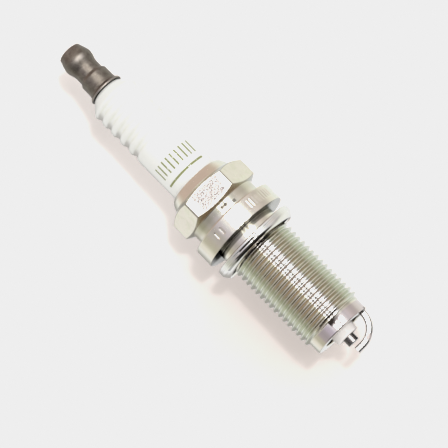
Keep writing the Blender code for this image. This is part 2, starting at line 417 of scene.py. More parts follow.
# ---------------------------------------------------------------------------
# plated steel of the shell: each function paints one region over the colour
# ---------------------------------------------------------------------------
def plated_thread(mat, colour):
    """Returns the colour, and a mask of the thread and the plain ring below it."""
    angle, radius, x, z = mat.angle, mat.radius, mat.x, mat.z
    # painted light on the thread: its colour is lighter towards -X, darker towards +X and bluer
    # where the highlight falls; its flanks are darker
    thread = (
        z.fall(-4.7, -4.1)
        * z.rise(THREAD_FOOT - 0.1, THREAD_FOOT + 0.3)
        * radius.rise(5.7, 6.1)
    )
    at_side = angle.rise(0.68, 0.95).larger(angle.fall(-0.76, -0.52))
    on_flank = radius.window(THREAD_ROOT_R + 0.05, THREAD_CREST_R - 0.05, ease=0.06)
    flank = thread * on_flank * (1.0 - at_side)
    painted_light_tint = mat.mix(x.fall(-0.8, 0.2), (0.92, 0.955, 0.92), (1.02, 1.04, 1.0))
    painted_light_tint = painted_light_tint.cover(x.window(-0.6, 2.3, ease=0.3, ease_out=0.4), (0.98, 1.03, 1.16))
    colour = colour.cover(thread, colour.tinted(painted_light_tint))
    colour = colour.cover(flank, colour.tinted((0.82, 0.82, 0.80)))
    # painted reflection: the thread's far sides are painted a dull grey-green
    colour = colour.cover(thread * at_side * 0.75, (0.63, 0.65, 0.565))
    # the plain ring is pinker
    end_ring = (
        z.fall(THREAD_FOOT - 0.3, THREAD_FOOT - 0.1)
        * radius.rise(5.7, 6.1)
        * angle.window(-0.675, 2.6, ease=0.15, ease_out=0.8)
    )
    colour = colour.cover(end_ring * 0.85, (0.67, 0.59, 0.59))
    return colour, thread.larger(end_ring)


def plated_flange(mat, colour):
    """Painted shade on the waist above the flange, on the neck below it and on the underside."""
    angle, radius, x, z = mat.angle, mat.radius, mat.x, mat.z
    # painted shade: the waist is painted a dark khaki, most of all towards -X
    waist_shade = (
        z.window(4.25, 6.55, ease=0.15)
        * radius.below(7.9)
        * z.span(4.6, 5.6, to_low=0.45)
        * angle.span(0.0, 0.35, to_low=1.0, to_high=0.55)
        * angle.span(-3.0, -2.2, to_low=0.55)
    )
    colour = colour.cover(waist_shade, (0.56, 0.53, 0.42))
    # painted shade: the neck under the flange is painted near black
    neck_shade = (
        z.window(-1.0, 0.06, ease=0.35, ease_out=0.1)
        * radius.below(9.33)
        * x.abs().span(6.2, 7.0, to_low=0.72, to_high=0.30)
    )
    colour = colour.cover(neck_shade, (0.10, 0.095, 0.07))
    # painted shade: the underside is painted near black on the -X side
    underside_shade = (
        z.window(-0.7, 0.03, ease=0.6, ease_out=0.05)
        * radius.below(9.3)
        * x.fall(-6.1, -5.3)
        * x.span(-9.0, -7.0, to_low=0.45)
        * mat.y.span(-1.5, 1.5, to_low=1.0, to_high=0.35)
    )
    colour = colour.cover(underside_shade * 0.78, (0.06, 0.06, 0.05))
    # painted shade in the reflections: the specular tint is dark on the painted underside and neck
    shaded_specular_tint = mat.mix(underside_shade.larger(neck_shade * 0.6), (1.0, 1.0, 1.0), (0.06, 0.06, 0.055))
    mat.set(mat.inputs["Specular Tint"], shaded_specular_tint)
    return colour


def plated_hexagon(mat, colour):
    """A random mottle over the hexagon, and painted shade along its upright edges, over its foot
    cone and round its top cone.
    """
    radius, z = mat.radius, mat.z
    on_hexagon = z.window(6.4, 11.9, ease=0.1) * radius.above(7.7)
    # degrees from the nearest upright edge, and height from the surface of each cone
    from_corner = (mat.angle.abs() * DEGREES % 60.0 - 30.0).abs()
    foot_cone = z - radius.scaled(FOOT_CHAMFER, HEX_FOOT - FOOT_CHAMFER * HEX_FLAT_R)
    top_cone = radius.scaled(-TOP_CHAMFER, HEX_TOP + TOP_CHAMFER * HEX_FLAT_R) - z
    # painted shade: the upright edges, the foot cone and a line round the top cone are painted dark
    upright = from_corner.fall(0.9, 1.7) * radius.above(8.9) * 0.5
    edge_shade = upright.larger(foot_cone.span(0.03, 0.16, to_low=0.5, to_high=0.0))
    edge_shade = edge_shade.larger(top_cone.window(-0.06, 0.14, ease=0.06) * 0.38)
    mottle = mat.point.noise(scale=620.0, detail=4.0, rough=0.65, distortion=0.6).rise(0.46, 0.66)
    colour = colour.cover(on_hexagon * mottle * 0.30, (0.66, 0.66, 0.47))
    return colour.cover(on_hexagon * edge_shade, (0.14, 0.125, 0.095))


def plated_end(mat, colour):
    """The bore, painted near black as painted shade, and the dark weld at the strap; returns the
    colour and their mask.
    """
    bore_shade = mat.radius.fall(5.2, 5.4) * mat.z.rise(-26.46, -26.3)
    # painted shade: the bore is painted near black
    colour = colour.cover(bore_shade, (0.035, 0.033, 0.03))
    weld = mat.x.rise(3.4, 4.0) * mat.z.below(-26.3) * mat.y.abs().fall(1.4, 2.3)
    colour = colour.cover(weld * 0.8, (0.10, 0.075, 0.055))
    return colour, bore_shade + weld


def plated_front(mat, colour):
    """Marks on the -Y side; returns the colour and the mask of the patch's dots."""
    x, y, z = mat.x, mat.y, mat.z
    # two dark specks on the waist
    right_speck = x.near(2.62, 0.34) * z.near(4.90, 0.32) * 0.74
    middle_speck = x.near(0.60, 0.78) * z.near(5.46, 0.26) * 0.96
    speck = right_speck.larger(middle_speck) * y.below(-5.0)
    colour = colour.cover(speck * 0.90, (0.04, 0.03, 0.03))
    # a worn, stippled patch on the front flat
    grain = mat.point.noise(scale=3900.0, rough=0.65, distortion=0.3)
    patch_offset = -0.2
    patch = (
        y.below(-7.93)
        * (x + patch_offset).abs().fall(2.4, 4.1)
        * z.rise(6.7, 7.7)
        * z.fall(10.6, 11.5)
    )
    dots = patch * grain.rise(0.47, 0.57)
    colour = colour.cover(patch * 0.76, (0.45, 0.42, 0.415))
    colour = colour.cover(dots * 0.94, (0.105, 0.085, 0.088))
    return colour, dots


def plated():
    """Bright plating with a warm tint."""
    mat = Material("plated_steel_look")
    marks = mat.turning(lines=14.0, wobble=1.5)
    tint = mat.point.noise(scale=260.0, detail=4.0, rough=0.6, distortion=0.8).ramp(
        (0.30, (0.78, 0.72, 0.62)),
        (0.50, (0.82, 0.75, 0.65)),
        (0.70, (0.83, 0.79, 0.66)),
    )
    # surfaces seen at a low angle look greener
    grazing = mat.value("LayerWeight", {"Blend": 0.5}, "Facing")
    colour = tint.cover(grazing.span(0.42, 0.72, to_high=0.7), (0.80, 0.82, 0.72))
    colour, threaded = plated_thread(mat, colour)
    colour = plated_flange(mat, colour)
    colour = plated_hexagon(mat, colour)
    colour, bore_shade_and_weld = plated_end(mat, colour)
    colour, dots = plated_front(mat, colour)
    roughness = marks.span(0.3, 0.7, to_low=0.09, to_high=0.14) + dots * 0.10
    roughness = roughness - threaded * 0.045 + bore_shade_and_weld * 0.3
    height = marks * 0.6 + dots * -1.2
    return mat.finish(colour, roughness, 1.0, height.bump(strength=0.22, distance=0.00005))


# ---------------------------------------------------------------------------
# the other materials
# ---------------------------------------------------------------------------
def gasket_sheet():
    mat = Material("gasket_sheet_look")
    angle, radius = mat.angle, mat.radius
    marks = mat.turning(lines=8.0, wobble=3.0)
    cloud = mat.point.noise(scale=300.0, distortion=0.4)
    colour = mat.mix(cloud.rise(0.45, 0.7) * 0.3, (0.86, 0.85, 0.81), (0.80, 0.77, 0.70))
    # painted shade: the hole's wall and the inside of the fold are painted black
    fold = radius.below(9.06) * radius.above(8.78) * angle.above(-1.0) * angle.below(0.3)
    hole_and_fold_shade = (
        radius.below(8.06).larger(fold)
        * mat.z.below(-1.2)
        * mat.x.window(-5.2, 4.0, ease=1.0).scaled(0.5, 0.5)
    )
    colour = colour.cover(hole_and_fold_shade * 0.95, (0.02, 0.02, 0.02))
    roughness = marks.span(0.3, 0.7, to_low=0.08, to_high=0.14)
    return mat.finish(colour, roughness, 1.0, marks.bump(strength=0.15, distance=0.00004))


def terminal_steel():
    mat = Material("terminal_steel_look")
    radius, z = mat.radius, mat.z
    marks = mat.turning(lines=6.0, wobble=1.0)
    blotch = mat.point.noise(scale=750.0, detail=5.0, rough=0.65, distortion=0.8)
    fine = mat.point.noise(scale=4200.0, rough=0.6)
    colour = blotch.ramp(
        (0.25, (0.120, 0.103, 0.085)),
        (0.50, (0.205, 0.180, 0.152)),
        (0.75, (0.300, 0.268, 0.232)),
    )
    colour = colour.cover(fine.rise(0.55, 0.75) * 0.25, (0.46, 0.42, 0.38))
    # painted highlight: the head is painted lighter in front, and so is the skirt's rim all round
    crown_highlight = z.window(46.9, 47.8, ease=0.5) * mat.angle.window(-0.15, 0.55, ease=0.35)
    rim_highlight = z.window(39.62, 39.92, ease=0.06, ease_out=0.08) * radius.above(3.6)
    colour = colour.cover((crown_highlight * 0.42).larger(rim_highlight * 0.5), (0.52, 0.48, 0.44))
    # painted shade: the skirt's underside is painted dark, and is not metallic
    skirt_underside_shade = z.below(39.73) * radius.above(2.6) * radius.below(3.70)
    colour = colour.cover(skirt_underside_shade, (0.13, 0.115, 0.10))
    roughness = blotch.span(0.3, 0.7, to_low=0.33, to_high=0.49) + marks * 0.04
    height = marks * 0.5 + blotch * 0.8
    return mat.finish(colour, roughness, 1.0 - skirt_underside_shade, height.bump(strength=0.35, distance=0.00008))


# plain, evenly spaced printed bars round the ceramic, over one long rule
BAR_PLACES = [-4.62 + 1.15 * k for k in range(9)]       # mm along the arc from -Y towards +X
BAR_HALF_WIDTH = 0.16
BAR_LOW, BAR_HIGH = 17.75, 20.65


def print_mask(mat):
    """1 on the printed bars and rule, with ragged edges."""
    z = mat.z
    arc = mat.angle * CERAMIC_R
    middle, half = (BAR_LOW + BAR_HIGH) / 2, (BAR_HIGH - BAR_LOW) / 2
    bars = [arc.near(place, BAR_HALF_WIDTH) * z.near(middle, half) for place in BAR_PLACES]
    rule = arc.near(-0.05, half_width=4.95) * z.near(16.2, half_width=0.21)
    ragged = mat.point.noise(scale=1800.0, detail=2.0).rise(0.27, 0.38)
    return reduce(Value.larger, [*bars, rule]) * ragged * mat.radius.above(5.2) * z.above(15.0)


def glazed_alumina():
    """White alumina: glossy glaze outside, matt below the shell."""
    mat = Material("glazed_alumina_look")
    angle, radius, z = mat.angle, mat.radius, mat.z
    fine = mat.point.noise(scale=2500.0)
    cloud = mat.point.noise(scale=120.0, distortion=0.3)
    colour = cloud.ramp((0.3, (0.875, 0.875, 0.845)), (0.7, (0.905, 0.905, 0.885)))
    bare = z.below(7.0)
    glazed = 1.0 - bare
    # painted shade: a band on the -X side is painted dimmer, and towards it the grooves are painted
    # a pale green and a grey
    dim = glazed * angle.window(-1.85, -1.435, ease=0.3, ease_out=0.19) * 0.80
    colour = colour.cover(dim, (0.42, 0.41, 0.38))
    groove = glazed * radius.fall(4.98, 5.22) * z.below(36.8)
    green = groove * angle.window(-0.90, -0.42, ease=0.5) * radius.rise(4.90, 5.05) * 0.55
    colour = colour.cover(green, (0.80, 0.82, 0.69))
    grey = groove * angle.window(-2.0, -0.965, ease=0.6, ease_out=0.37) * 0.9
    colour = colour.cover(grey, (0.50, 0.48, 0.45))
    colour = colour.cover(bare, (1.0, 0.95, 0.93))
    # painted shade: the nose is painted dark inside the bore, darkening quickly past its mouth
    colour = colour.cover(bare * z.rise(-26.3, -24.9), (0.03, 0.027, 0.024))
    ink = print_mask(mat)
    colour = colour.cover(ink * 0.92, (0.235, 0.255, 0.075))
    roughness = fine.span(0.3, 0.7, to_low=0.07, to_high=0.13).cover(bare, 0.6).cover(ink, 0.45)
    ripple = mat.point.noise(scale=420.0, detail=2.0)
    height = ripple * 1.0 + fine * 0.06
    mat.set(mat.inputs["IOR"], 1.6)
    specular = ink.span(0.0, 1.0, to_low=0.5, to_high=0.08)
    mat.set(mat.inputs["Specular IOR Level"], specular)
    return mat.finish(colour, roughness, 0.0, height.bump(strength=0.12, distance=0.00012))


def nickel_colour(mat, base):
    """A cloudy colour, darker and redder or lighter than the base in places."""
    lighter = tuple(min(1.0, channel * 1.12) for channel in base)
    darker = (base[0] * 0.82, base[1] * 0.78, base[2] * 0.76)
    cloud = mat.point.noise(scale=900.0, rough=0.6, distortion=0.5)
    return cloud.ramp((0.3, darker), (0.55, base), (0.8, lighter))


def nickel_finish(mat, colour, lines, low, high, metallic=1.0):
    """Finishes with marks that set the relief, and the roughness from low to high."""
    roughness = lines.span(0.3, 0.7, low, high)
    return mat.finish(colour, roughness, metallic, lines.bump(strength=0.2, distance=0.00003))


def strap_nickel():
    """Drawn nickel, with the bend's inner and outer sides painted dark as painted shade, and a scar.
    """
    mat = Material("strap_nickel_look")
    x, z = mat.x, mat.z
    # distance from the bend's centre line: 3.75 on the bar's inner side, 5 on its outer side
    run = (x - BEND_X).larger(0.0)
    rise = (BEND_Z - z).larger(0.0)
    reach = (run * run + rise * rise).math("SQRT")
    # painted shade: the inner and outer sides of the bend are painted dark
    outer = reach.rise(4.72, 4.88) * z.span(-30.5, -27.5, to_low=0.85, to_high=0.55)
    side_shade = reach.span(3.86, 4.04, to_low=0.80, to_high=0.0).larger(outer)
    lines = mat.vector(x * 1.0, mat.y * 22.0, z * 1.0).noise(scale=1.0, rough=0.6)
    colour = nickel_colour(mat, (0.80, 0.78, 0.75)).cover(side_shade, (0.10, 0.095, 0.09))
    # a blunt, pinkish scar on the outer bend
    scar = (
        x.near(3.0, 0.75) * z.near(-31.05, 0.85)
        * reach.rise(3.95, 4.35)
        * mat.point.noise(scale=1500.0, detail=2.0, rough=0.6).rise(0.32, 0.48)
    )
    colour = colour.cover(scar * 0.8, (0.50, 0.42, 0.41))
    metallic = scar.scaled(-0.9, 1.0)
    return nickel_finish(mat, colour, lines, low=0.12, high=0.22, metallic=metallic)


def tip_nickel():
    """Dark, turned nickel."""
    mat = Material("tip_nickel_look")
    lines = mat.turning(lines=10.0, wobble=2.0)
    colour = nickel_colour(mat, (0.135, 0.126, 0.121))
    return nickel_finish(mat, colour, lines, low=0.20, high=0.30)


def hidden(name, base, metallic, roughness, scale):
    """Inner pieces: a grain at the right scale, in the piece's own colour."""
    mat = Material(name)
    grain = mat.point.noise(scale, detail=5.0, rough=0.65, distortion=0.3)
    darker = tuple(channel * 0.65 for channel in base)
    lighter = tuple(min(1.0, channel * 1.25) for channel in base)
    colour = grain.ramp((0.25, darker), (0.75, lighter))
    normal = grain.bump(strength=0.4, distance=0.00005)
    return mat.finish(colour, grain.span(0.3, 0.7, *roughness), metallic, normal)


PLATED = plated()
SHEET = gasket_sheet()
TERMINAL = terminal_steel()
CERAMIC = glazed_alumina()
STRAP = strap_nickel()
TIP = tip_nickel()


# ---------------------------------------------------------------------------
# metal shell
# ---------------------------------------------------------------------------
# degrees within each sixth of the hexagon: closer together near the upright edges
OFFSETS = [
    0.0, 0.47, 0.94, 1.41, 1.75,
    *[2.5 + 1.25 * i for i in range(45)],
    58.25, 58.59, 59.06, 59.53,
]
ANGLES = [math.radians(60.0 * k + offset) for k in range(6) for offset in OFFSETS]

# profiles below are (r, z) with a corner radius where the corner is rounded
LIP = (5.42, 12.95)               # where the bore meets the crimped rim
BAND_TOP = FLANGE_TOP - 0.45
TOP_ROWS = soften([
    LIP,
    (5.42, 13.80, 0.10),
    (5.56, 14.10, 0.14),
    (6.02, 14.00, 0.35),
    (6.45, 13.40, 0.40),
    (6.80, 12.60, 0.30),
    (7.00, 12.10, 0.05),
    (7.06, 12.02),
], steps=5)
WAIST_ROWS = soften([
    (7.62, HEX_FOOT - 0.24),
    (7.56, HEX_FOOT - 0.40, 0.10),
    (7.56, FLANGE_TOP + 0.06, 0.42),
    (FLANGE_R, FLANGE_TOP, 0.34),
    (FLANGE_R, BAND_TOP),
], steps=7)
BAND_HEIGHTS = [BAND_TOP - 0.10 * i for i in range(1, 31)]
SEAT_ROWS = soften([
    (FLANGE_R, 0.30),
    (FLANGE_R, 0.02, 0.12),
    (FLANGE_R - 0.40, 0.0, 0.10),
    (SHANK_R, 0.0, 0.14),
    (SHANK_R, THREAD_TOP),
], steps=5)
BORE_ROWS = soften([
    (END_RING_R, THREAD_FOOT),
    (END_RING_R, SHELL_END, 0.20),
    (4.25, SHELL_END, 0.14),
    (4.25, -15.6, 0.1),
    (3.85, -15.2, 0.05),
    (3.85, -14.35, 0.05),
    (4.75, -13.45, 0.1),
    (4.75, -0.7, 0.2),
    (6.05, 1.0, 0.2),
    (6.05, 12.5, 0.3),
    LIP,
], steps=3)

# plain strokes pressed in the flange's band: angle from -Y towards +X, low and high end
STROKES = [(math.radians(25.0 + 4.7 * k), 1.35, 2.85) for k in range(9)]
STROKES += [(math.radians(-19.0 - 9.0 * k), 1.45, 2.60) for k in range(2)]
STROKE_HALF_WIDTH = 0.26
STROKE_DEPTH = 0.11

# the thread's profile along half a pitch, from 0 on the crest to 1 in the root
FLANK_STEPS = (0.050, 0.080, 0.110, 0.370, 0.400, 0.430)
FLANK_DEPTHS = (0.0, 0.035, 0.115, 0.885, 0.965, 1.0)
THREAD_STEPS = (0.0, *FLANK_STEPS, 0.5, 0.570, 0.600, 0.630, 0.890, 0.920, 0.950)


def hex_radius(angle):
    """Distance from the axis to the hexagon's side, with its upright edges filleted."""
    from_flat = abs((math.degrees(angle) % 60.0) - 30.0)
    middle = (HEX_FLAT_R - HEX_FILLET) / math.cos(math.radians(30.0))
    touch = math.degrees(math.atan2(middle * 0.5, HEX_FLAT_R))
    if from_flat <= touch:
        return HEX_FLAT_R / math.cos(math.radians(from_flat))
    off = math.radians(30.0 - from_flat)
    return middle * math.cos(off) + math.sqrt(HEX_FILLET ** 2 - (middle * math.sin(off)) ** 2)


def hex_profile(angle):
    """The part of one column that runs over the hexagon: top cone, edge, flat, edge, foot cone."""
    radius = hex_radius(angle)
    return soften([
        (7.05, HEX_TOP + TOP_CHAMFER * 0.95),
        (7.30, HEX_TOP + TOP_CHAMFER * 0.70, 0.06),
        (radius, HEX_TOP - TOP_CHAMFER * (radius - HEX_FLAT_R), 0.10),
        (radius, HEX_FOOT + FOOT_CHAMFER * (radius - HEX_FLAT_R), 0.10),
        (7.74, HEX_FOOT - 0.13, 0.05),
        (7.64, HEX_FOOT - 0.4),
    ], steps=4)[1:-1]


def pressed(angle, height):
    """Depth of the strokes at a point of the band. The angle is measured from -Y towards +X."""
    deepest = 0.0
    for stroke_angle, low, high in STROKES:
        aside = angle * FLANGE_R - stroke_angle * FLANGE_R
        gap = math.hypot(aside, height - max(low, min(high, height)))
        if gap < STROKE_HALF_WIDTH:
            deepest = max(deepest, 1.0 - (gap / STROKE_HALF_WIDTH) ** 2)
    return STROKE_DEPTH * deepest


def thread_point(row, angle):
    """A point of the helix, which fades into the shank above and the end ring below."""
    turn, step = divmod(row, len(THREAD_STEPS))
    along = THREAD_STEPS[step]
    height = THREAD_FOOT - PITCH + PITCH * (turn + along + angle / (2 * math.pi))
    if height <= THREAD_FOOT:
        radius, height = END_RING_R, THREAD_FOOT
    elif height >= THREAD_TOP:
        radius, height = SHANK_R, THREAD_TOP
    else:
        depth = float(np.interp(min(along, 1.0 - along), FLANK_STEPS, FLANK_DEPTHS))
        radius = THREAD_CREST_R - depth * (THREAD_CREST_R - THREAD_ROOT_R)
        fade = min(1.0, (THREAD_TOP - height) / RUN_OUT)
        fade = fade * fade * (3 - 2 * fade)
        radius = SHANK_R + fade * (radius - SHANK_R)
        radius = min(radius, END_RING_R + (height - THREAD_FOOT) * 1.3)
    return (radius * math.cos(angle), radius * math.sin(angle), height)


def shell_column(angle):
    """The shell's whole section at one angle, except for the thread."""
    from_front = (angle + math.pi / 2 + math.pi) % (2 * math.pi) - math.pi
    rows = BORE_ROWS + TOP_ROWS[1:] + hex_profile(angle) + WAIST_ROWS
    rows += [(FLANGE_R - pressed(from_front, height), height) for height in BAND_HEIGHTS]
    rows += SEAT_ROWS
    return [(radius * math.cos(angle), radius * math.sin(angle), z) for radius, z in rows]


def build_shell():
    skin = Skin()
    columns = [shell_column(angle) for angle in ANGLES]
    for here, there in zip(columns, columns[1:] + columns[:1]):
        skin.strip(here, there)
    turns = math.ceil((THREAD_TOP - THREAD_FOOT) / PITCH) + 2
    thread_rows = range(turns * len(THREAD_STEPS) + 1)
    for start, stop in zip(ANGLES, ANGLES[1:] + [2 * math.pi]):
        left = [thread_point(i, start) for i in thread_rows]
        right = [thread_point(i, stop) for i in thread_rows]
        skin.strip(left, right)
    return skin.object("shell_body", PLATED, sharp=42.0)


hand_over(build_shell(), "metal_shell")


# ---------------------------------------------------------------------------
# ceramic
# ---------------------------------------------------------------------------
RIB_R = 5.30
RIB_TOP, RIB_FOOT, RIB_STEPS = 36.95, 24.7, 96
GROOVE_COUNT = 5
GROOVE_FIRST = 35.95              # height of the highest groove
GROOVE_PITCH = 2.52
GROOVE_HALF_WIDTH = 0.98
GROOVE_DEPTH = 0.40
CORE_R = 2.05                     # the hole for the terminal's stem
TIP_HOLE_R = 1.36


def rib_rows():
    """Shallow, rounded grooves below the head."""
    rows = []
    for k in range(RIB_STEPS + 1):
        z = RIB_TOP + (RIB_FOOT - RIB_TOP) * k / RIB_STEPS
        depth = 0.0
        for groove in range(GROOVE_COUNT):
            off = abs(z - (GROOVE_FIRST - groove * GROOVE_PITCH)) / GROOVE_HALF_WIDTH
            if off < 1.0:
                depth = max(depth, math.cos(off * math.pi / 2) ** 1.35)
        rows.append((RIB_R - GROOVE_DEPTH * depth, z))
    return rows


def build_ceramic():
    top = soften([(CORE_R, 39.0), (CORE_R, 39.52, 0.08), (3.1, 39.52)], steps=3)
    head = spline([
        (3.28, 39.46), (3.62, 39.13), (4.05, 38.60),
        (4.55, 38.02), (4.98, 37.52), (5.24, 37.18),
    ], per=4)
    barrel = [(RIB_R, 23.0), (RIB_R, 18.0), (CERAMIC_R, 15.0)]
    # down the outside to the nose, and back up the hole
    lower = soften([
        (CERAMIC_R, 14.9),
        (CERAMIC_R, 8.4, 0.2),
        (5.82, 7.9, 0.2),
        (5.82, 1.3, 0.3),
        (4.52, -0.4, 0.3),
        (4.52, -12.9, 0.2),
        (3.60, -13.85, 0.2),
        (3.45, -14.6, 0.2),
        (2.50, NOSE_TIP + 0.9, 1.0),
        (2.42, NOSE_TIP + 0.02, 0.40),
        (1.50, NOSE_TIP, 0.12),
        (TIP_HOLE_R, NOSE_TIP + 0.3, 0.1),
        (TIP_HOLE_R, -9.6, 0.1),
        (CORE_R, -9.0, 0.1),
        (CORE_R, 39.0),
    ], steps=5)[:-1]
    rows = top + head + rib_rows() + barrel + lower
    return turned("ceramic_body", rows, 192, CERAMIC, sharp=45.0, closed=True)


hand_over(build_ceramic(), "insulator")


# ---------------------------------------------------------------------------
# terminal
# ---------------------------------------------------------------------------
STEM_R = 1.85


def hand_turned(radius, height, angle):
    """The head is forged, so it is a few hundredths out of round."""
    wave = (
        0.012 * math.sin(2 * angle + 0.6 * height)
        + 0.008 * math.sin(5 * angle - 1.3 * height)
    )
    return (radius + wave * min(1.0, radius / 2.0), height)


def build_terminal():
    top = soften([(1.9, 50.50), (2.45, 50.46, 0.34), (2.56, 50.08)], steps=6)[:-1]
    bulb = spline([
        (2.56, 50.08), (2.70, 49.65), (2.92, 49.00), (3.09, 48.40), (3.17, 47.85), (3.13, 47.30),
        (2.98, 46.75), (2.82, 46.25), (2.71, 45.80), (2.66, 45.30), (2.66, 44.75),
    ], per=5)
    skirt_and_stem = soften([
        (2.66, 44.5),
        (2.64, 44.00, 0.1),
        (3.07, 43.28, 0.22),
        (3.10, 41.2, 1.2),
        (3.19, 40.42, 0.3),
        (3.66, 40.03, 0.06),
        (3.75, 39.88, 0.04),
        (3.76, 39.62, 0.03),
        (3.68, 39.56, 0.02),
        (3.30, 39.70, 0.2),
        (STEM_R, 39.80, 0.2),
        (STEM_R, 10.6, 0.3),
        (1.45, 10.1),
    ], steps=6)
    rows = [(1.0, 50.50)] + top + bulb + skirt_and_stem
    return turned("terminal_head", rows, 144, TERMINAL, sharp=40.0, shape=hand_turned)


hand_over(build_terminal(), "terminal_stud")


# ---------------------------------------------------------------------------
# crush gasket: heights are from the ring's own middle
# ---------------------------------------------------------------------------
def clamp(value):
    return max(0.0, min(1.0, value))


def rolled(radius, height, angle):
    """The folded edge is not quite even round the ring."""
    outer = clamp(radius - 8.0)
    # the fold is open only on the -Y side of the ring
    shut = 0.5 + 0.5 * math.cos(angle - math.radians(80.0))
    if 0.13 < height < 0.39 and 8.6 < radius < 9.15:
        radius += (9.14 - radius) * min(1.0, shut * 55.0)
    # the lower leaf droops at the strap's side and opposite it
    droop = 0.5 * math.cos(angle) ** 2 * clamp((8.9 - radius) / 0.6) if height < -0.5 else 0.0
    return (
        radius + outer * 0.02 * math.sin(3 * angle + 0.4),
        height + outer * 0.03 * math.sin(2 * angle + 1.1) - droop,
    )


def build_gasket():
    upper = soften([
        (8.10, -0.86),
        (8.02, -0.60, 0.2),
        (8.02, 0.30, 0.2),
        (6.95, 0.46, 0.1),
        (6.82, 0.56, 0.05),
        (6.82, 0.80, 0.06),
        (7.05, 1.00, 0.15),
        (8.70, 1.00, 0.3),
        (9.16, 0.94, 0.30),
        (9.22, 0.40, 0.12),
        (8.84, 0.30, 0.04),
        (8.84, 0.20, 0.04),
        (9.16, 0.12, 0.06),
        (9.22, 0.02),
    ], steps=5)[:-1]
    # a quarter of an ellipse
    lower_roll = [
        (8.27 + 0.95 * math.cos(math.radians(turn)), 0.02 - 1.0 * math.sin(math.radians(turn)))
        for turn in range(0, 91, 6)
    ]
    rows = upper + lower_roll + [(8.15, -0.95)]
    return turned("gasket_ring", rows, 224, SHEET, sharp=50.0,
                  closed=True, shape=rolled, place=GASKET_PLACE)


hand_over(build_gasket(), "crush_gasket", part="gasket")


# ---------------------------------------------------------------------------
# centre electrode
# ---------------------------------------------------------------------------
def build_electrode():
    core, collar, rod = 0.70, 1.80, 1.22      # radii
    rows = soften([
        (core, -25.6),
        (core, -7.1, 0.03),
        (collar, -7.1, 0.12),
        (collar, -8.85, 0.15),
        (rod, -9.75, 0.1),
        (rod, ELECTRODE_TIP + 1.2, 0.0),
        (rod, ELECTRODE_TIP, 0.09),
        (0.3, ELECTRODE_TIP),
    ], steps=4)
    return turned("electrode_tip", rows, 96, TIP, sharp=40.0)


electrode = build_electrode()
hand_over(electrode, "center_electrode")


# ---------------------------------------------------------------------------
# ground strap
# ---------------------------------------------------------------------------
STRAP_BENDS = 48
STRAP_OVERHANG = 0.52             # how far the free end passes the axis
STRAP_EDGE_R = 0.34
STRAP_GROWTH = 0.10               # the bar spreads this much where it joins the shell


def strap_path():
    """The bar's middle line from the shell to the free end: (x, z, turn)."""
    middle = STRAP_BEND_R - STRAP_THICK / 2
    path = [(BEND_X + middle, SHELL_END, 0.0), (BEND_X + middle, SHELL_END - 0.35, 0.0)]
    for k in range(STRAP_BENDS + 1):
        turn = math.pi / 2 * k / STRAP_BENDS
        path.append((BEND_X + middle * math.cos(turn), BEND_Z - middle * math.sin(turn), turn))
    for k in range(1, 5):
        path.append((BEND_X - (BEND_X + STRAP_OVERHANG) * k / 4, BEND_Z - middle, math.pi / 2))
    return path


def build_strap():
    half_thick, half_wide = STRAP_THICK / 2, STRAP_WIDE / 2
    signs = ((1, 1), (-1, 1), (-1, -1), (1, -1))
    corners = [(out * half_thick, across * half_wide, STRAP_EDGE_R) for out, across in signs]
    section = soften(corners, closed=True, steps=6)
    rings = []
    for i, (x, z, turn) in enumerate(strap_path()):
        swell = 1.0 + 0.015 * math.sin(turn * 2)
        grow = STRAP_GROWTH if i == 0 else 0.0
        ring = []
        for out, across in section:
            # the bent bar is a little wider inside the bend and narrower outside
            width = across * (swell - 0.035 * math.sin(2 * turn) * out / half_thick)
            width += math.copysign(grow, across)
            depth = out + math.copysign(grow * 0.5, out)
            ring.append((x + depth * math.cos(turn), width, z - depth * math.sin(turn)))
        rings.append(ring)
    # the free end's edges are eased by one smaller ring
    level = BEND_Z - (STRAP_BEND_R - half_thick)
    rings.append([(x - 0.05, y * 0.955, (z - level) * 0.92 + level) for x, y, z in rings[-1]])
    skin = Skin()
    skin.loft(rings)
    return skin.object("ground_strap", STRAP, sharp=40.0)


hand_over(build_strap(), "ground_electrode")


# ---------------------------------------------------------------------------
# inner pieces keep their CAD shapes
# ---------------------------------------------------------------------------
COPPER = dict(base=(0.78, 0.40, 0.26), metallic=1.0, roughness=(0.25, 0.45), scale=900.0)
SEAL = dict(base=(0.22, 0.17, 0.13), metallic=0.2, roughness=(0.4, 0.6), scale=2400.0)
RESISTOR = dict(base=(0.06, 0.06, 0.065), metallic=0.0, roughness=(0.5, 0.8), scale=3000.0)
PACKING = dict(base=(0.55, 0.54, 0.52), metallic=1.0, roughness=(0.3, 0.5), scale=1500.0)
TALC = dict(base=(0.80, 0.78, 0.74), metallic=0.0, roughness=(0.85, 1.0), scale=1800.0)
INNER = (   # CAD node, material's name, what it is made of
    ("center_electrode_copper_core", "copper_look", COPPER),
    ("upper_glass_seal", "upper_seal_look", SEAL),
    ("lower_glass_seal", "lower_seal_look", SEAL),
    ("resistor", "resistor_look", RESISTOR),
    ("seat_packing", "seat_packing_look", PACKING),
    ("lower_ring_packing", "lower_ring_look", PACKING),
    ("upper_ring_packing", "upper_ring_look", PACKING),
    ("talc_ring", "talc_look", TALC),
)
for cad_node, look_name, stuff in INNER:
    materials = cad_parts[cad_node].data.materials
    materials.clear()
    materials.append(hidden(look_name, **stuff))


# ---------------------------------------------------------------------------
# camera: straight above a table that the plug lies on
# ---------------------------------------------------------------------------
TILT = math.radians(9.6)          # the terminal end lies lower than the flange
ROLL = math.radians(45.6)         # the axis runs down to the right
DISTANCE = 0.403
LENS = 167.0363036                # mm, for a sensor 36 mm wide
AIM = Vector((0.0, 0.0, 0.0042 + SEAT * MM))
OFF_SIDE = 0.0019                 # the camera's target is this far from the axis

